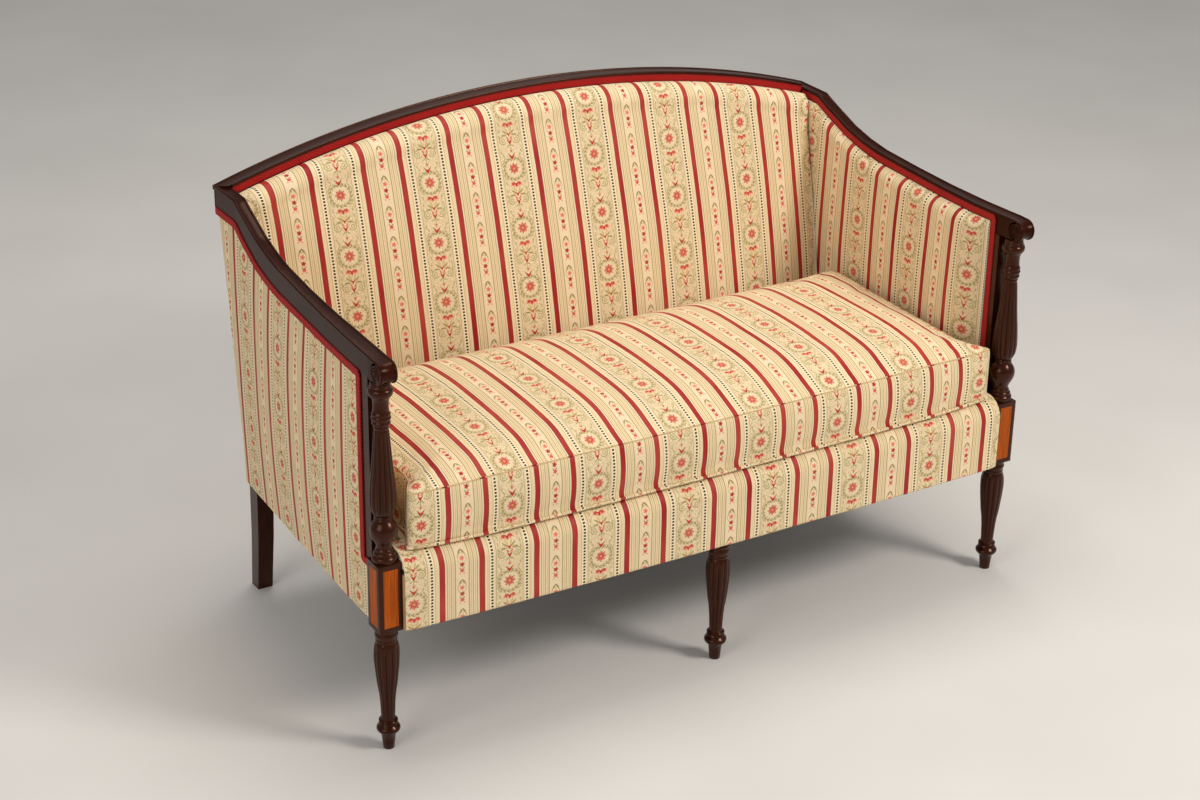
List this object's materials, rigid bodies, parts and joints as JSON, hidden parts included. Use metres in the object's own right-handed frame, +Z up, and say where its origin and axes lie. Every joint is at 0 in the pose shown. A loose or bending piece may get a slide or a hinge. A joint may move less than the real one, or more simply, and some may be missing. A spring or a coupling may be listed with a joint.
{
  "type": "loveseat",
  "caption": "Loveseat with an arched show-wood crest, swept arm rails on reeded turned posts, striped close cover, red gimp and a loose lift-off seat cushion.",
  "frame": {"origin": "on the floor, in the middle of the width and of the depth", "axes": "+X along the width to the viewer's right when facing the seat, +Y from the front to the back, +Z up"},
  "size_m": [1.368, 0.7417, 0.9176],
  "materials": {
    "show_wood": "dark polished mahogany, gloss",
    "satinwood": "amber inlaid veneer, gloss",
    "frame_wood": "sawn hardwood, unfinished",
    "spring_steel": "drawn wire, satin",
    "jute": "coarse woven jute",
    "stuffing": "soft foam and wadding",
    "lining": "thin woven lining",
    "stripe_cover": "woven striped furnishing fabric",
    "red_gimp": "woven braid",
    "zip_tape": "woven tape"
  },
  "bodies": {
    "frame": {"front_post_left": "show_wood", "front_post_right": "show_wood", "front_leg_middle": "show_wood", "rear_post_left": "show_wood", "rear_post_right": "show_wood", "crest_rail": "show_wood", "arm_rail_left": "show_wood", "arm_rail_right": "show_wood", "arm_stile_left": "show_wood", "arm_stile_right": "show_wood", "satinwood_front_panel_left": "satinwood", "satinwood_front_panel_right": "satinwood", "satinwood_side_panel_left": "satinwood", "satinwood_side_panel_right": "satinwood", "front_seat_rail": "frame_wood", "rear_seat_rail": "frame_wood", "side_seat_rail_left": "frame_wood", "side_seat_rail_right": "frame_wood", "seat_brace": "frame_wood", "front_corner_block_left": "frame_wood", "front_corner_block_right": "frame_wood", "rear_corner_block_left": "frame_wood", "rear_corner_block_right": "frame_wood", "back_tack_rail": "frame_wood", "back_upright_left": "frame_wood", "back_upright_right": "frame_wood", "arm_tack_rail_left": "frame_wood", "arm_tack_rail_right": "frame_wood", "frame_dowels": "frame_wood", "corner_block_screws": "spring_steel", "seat_springs": "spring_steel", "spring_clips": "spring_steel", "spring_burlap": "jute", "back_webbing": "jute", "deck_pad": "stuffing", "front_edge_roll": "stuffing", "inside_back_pad": "stuffing", "inside_arm_pad_left": "stuffing", "inside_arm_pad_right": "stuffing", "deck_cover": "lining", "dust_cover": "lining", "front_rail_cover": "stripe_cover", "inside_back_cover": "stripe_cover", "inside_arm_cover_left": "stripe_cover", "inside_arm_cover_right": "stripe_cover", "outside_arm_cover_left": "stripe_cover", "outside_arm_cover_right": "stripe_cover", "outside_back_cover": "stripe_cover", "inside_back_gimp": "red_gimp", "outside_back_gimp": "red_gimp", "inside_arm_gimp_left": "red_gimp", "inside_arm_gimp_right": "red_gimp", "outside_arm_gimp_left": "red_gimp", "outside_arm_gimp_right": "red_gimp"},
    "cushion": {"cushion_cover": "stripe_cover", "cushion_core": "stuffing", "cushion_welt": "stripe_cover", "cushion_zip": "zip_tape"}
  },
  "joints": [
    {"name": "cushion_lift", "type": "slide", "parent": "frame", "child": "cushion", "axis": [0, 0, 1], "range_m": [0, 0.45]}
  ]
}
